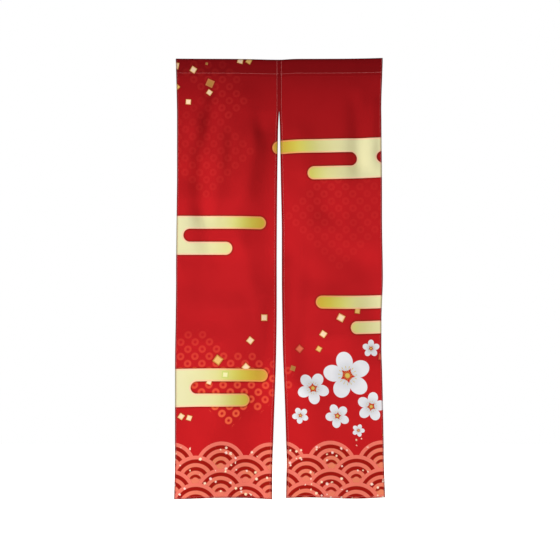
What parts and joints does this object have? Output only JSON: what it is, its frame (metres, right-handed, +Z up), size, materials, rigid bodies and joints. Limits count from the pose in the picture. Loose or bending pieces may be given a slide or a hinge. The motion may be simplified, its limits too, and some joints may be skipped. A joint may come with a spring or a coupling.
{
  "type": "noren curtain",
  "caption": "Split doorway curtain of printed cloth that hangs from a sewn rod pocket and parts in the middle for a person to pass.",
  "frame": {"origin": "middle of the top edge, where the rod pocket hangs on its rod", "axes": "+Z up, -Y out of the printed front, +X to the right as seen from the front"},
  "size_m": [0.8662, 0.0521, 1.8111],
  "materials": {
    "printed_cloth": "matt woven polyester with a printed pattern",
    "pocket_cloth": "matt woven polyester, doubled, plain dark red",
    "sewing_thread": "spun polyester thread, pale pink"
  },
  "bodies": {
    "root": {"left_panel": "printed_cloth", "right_panel": "printed_cloth", "left_rod_pocket": "pocket_cloth", "right_rod_pocket": "pocket_cloth"}
  },
  "joints": []
}
